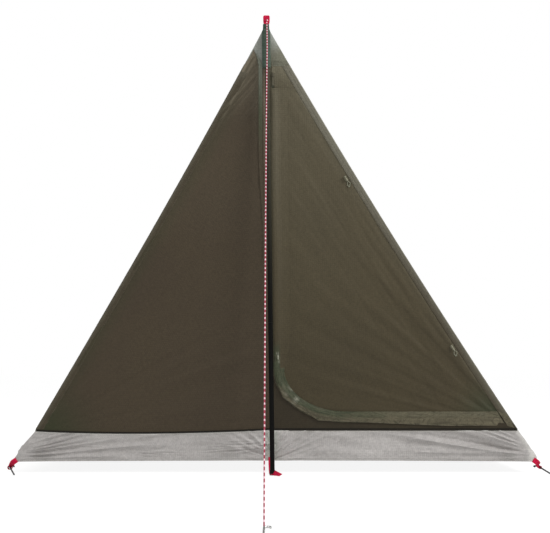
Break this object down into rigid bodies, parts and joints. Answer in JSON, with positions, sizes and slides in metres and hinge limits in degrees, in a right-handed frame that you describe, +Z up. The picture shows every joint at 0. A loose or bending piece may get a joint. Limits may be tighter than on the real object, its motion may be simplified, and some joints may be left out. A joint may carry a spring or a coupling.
{
  "type": "backpacking tent",
  "caption": "One-person pyramid tent with a front pole, an L-shaped zipped door under a storm flap, a pale foot band, pegged corner loops and a front guy line.",
  "frame": {"origin": "centre of the groundsheet's underside, on the ground", "axes": "+X to the right seen from the front, +Y from the front to the foot end, +Z up"},
  "size_m": [1.515, 3.9835, 1.289],
  "materials": {
    "dark_cloth": "coated polyester taffeta, dark olive brown, satin",
    "light_cloth": "coated polyester taffeta, pale grey green, satin",
    "band_cloth": "waterproof floor cloth, warm light grey, satin",
    "teal_webbing": "woven webbing, dark teal, matt",
    "red_webbing": "woven webbing, crimson red, matt",
    "zip_tape": "woven zip tape, dark olive, matt",
    "zip_teeth": "coil teeth, dark olive, satin",
    "zip_metal": "enamelled zinc, dark grey, satin",
    "pole_steel": "powder-coated steel tube, black green, satin",
    "pole_plastic": "moulded nylon, black, satin",
    "bare_steel": "zinc-plated steel, satin",
    "toggle_plastic": "moulded plastic, grey green, satin",
    "guy_cord": "braided cord, pink white with red flecks, matt"
  },
  "bodies": {
    "tent": {"groundsheet": "band_cloth", "band_front": "band_cloth", "band_rear": "band_cloth", "band_left": "band_cloth", "band_right": "band_cloth", "side_panel_left": "dark_cloth", "side_panel_right": "dark_cloth", "rear_panel": "dark_cloth", "ridge_binding_front_left": "dark_cloth", "ridge_binding_front_right": "dark_cloth", "ridge_binding_rear_left": "dark_cloth", "ridge_binding_rear_right": "dark_cloth", "front_left_panel": "dark_cloth", "door_sill": "dark_cloth", "door_head": "dark_cloth", "crown_patch": "light_cloth", "crown_webbing": "teal_webbing", "apex_loop": "red_webbing", "pole_sleeve": "teal_webbing", "pole_tip": "pole_plastic", "pole_section_lower": "pole_steel", "pole_section_middle": "pole_steel", "pole_section_upper": "pole_steel", "pole_ferrule_lower": "bare_steel", "pole_ferrule_upper": "bare_steel", "pole_cap": "pole_plastic", "foot_strap": "red_webbing", "foot_eyelet": "bare_steel", "corner_loop_front_left": "red_webbing", "corner_loop_front_right": "red_webbing", "corner_loop_rear_left": "red_webbing", "corner_loop_rear_right": "red_webbing", "zip_tape_fixed": "zip_tape", "zip_teeth_fixed": "zip_teeth", "guy_cord": "guy_cord", "guy_knot": "guy_cord"},
    "door": {"door_panel": "dark_cloth", "storm_flap": "dark_cloth", "zip_tape_door": "zip_tape", "zip_teeth_door": "zip_teeth", "toggle_tab_upper": "light_cloth", "toggle_tab_lower": "light_cloth", "toggle_loop_upper": "light_cloth", "toggle_loop_lower": "light_cloth"},
    "toggle_upper": {"toggle_bar_upper": "toggle_plastic"},
    "toggle_lower": {"toggle_bar_lower": "toggle_plastic"},
    "slider": {"zip_slider": "zip_metal"},
    "pull": {"zip_pull": "zip_metal"},
    "peg_front_left": {"peg_front_left": "bare_steel"},
    "peg_front_right": {"peg_front_right": "bare_steel"},
    "peg_rear_left": {"peg_rear_left": "bare_steel"},
    "peg_rear_right": {"peg_rear_right": "bare_steel"},
    "guy_peg": {"guy_peg": "bare_steel"}
  },
  "joints": [
    {"name": "door_swing", "type": "hinge", "parent": "tent", "child": "door", "pos_m": [0.63174, -1.23494, 0.1634], "axis": [-0.5311, -0.063, 0.8449], "range_deg": [0, 110]},
    {"name": "toggle_upper_turn", "type": "hinge", "parent": "door", "child": "toggle_upper", "pos_m": [0.20005, -1.28877, 0.82466], "axis": [0, -0.9972, -0.0743], "range_deg": [-90, 90]},
    {"name": "toggle_lower_turn", "type": "hinge", "parent": "door", "child": "toggle_lower", "pos_m": [0.49995, -1.25338, 0.34966], "axis": [0, -0.9972, -0.0743], "range_deg": [-90, 90]},
    {"name": "zip_slide", "type": "slide", "parent": "tent", "child": "slider", "axis": [0.0131, 0.0743, -0.9972], "range_m": [0, 0.82]},
    {"name": "pull_swing", "type": "hinge", "parent": "slider", "child": "pull", "pos_m": [-0.00559, -1.30932, 1.11324], "axis": [-0.9999, 0.001, -0.013], "range_deg": [0, 125]},
    {"name": "peg_front_left_pull", "type": "slide", "parent": "tent", "child": "peg_front_left", "axis": [-0.2832, 0.956, 0.0768], "range_m": [0, 0.16]},
    {"name": "peg_front_right_pull", "type": "slide", "parent": "tent", "child": "peg_front_right", "axis": [-0.0522, 0.9957, 0.0768], "range_m": [0, 0.16]},
    {"name": "peg_rear_left_pull", "type": "slide", "parent": "tent", "child": "peg_rear_left", "axis": [0, -0.997, 0.0768], "range_m": [0, 0.16]},
    {"name": "peg_rear_right_pull", "type": "slide", "parent": "tent", "child": "peg_rear_right", "axis": [0, -0.997, 0.0768], "range_m": [0, 0.16]},
    {"name": "guy_peg_pull", "type": "slide", "parent": "tent", "child": "guy_peg", "axis": [0, 1, 0], "range_m": [0, 0.03]}
  ]
}
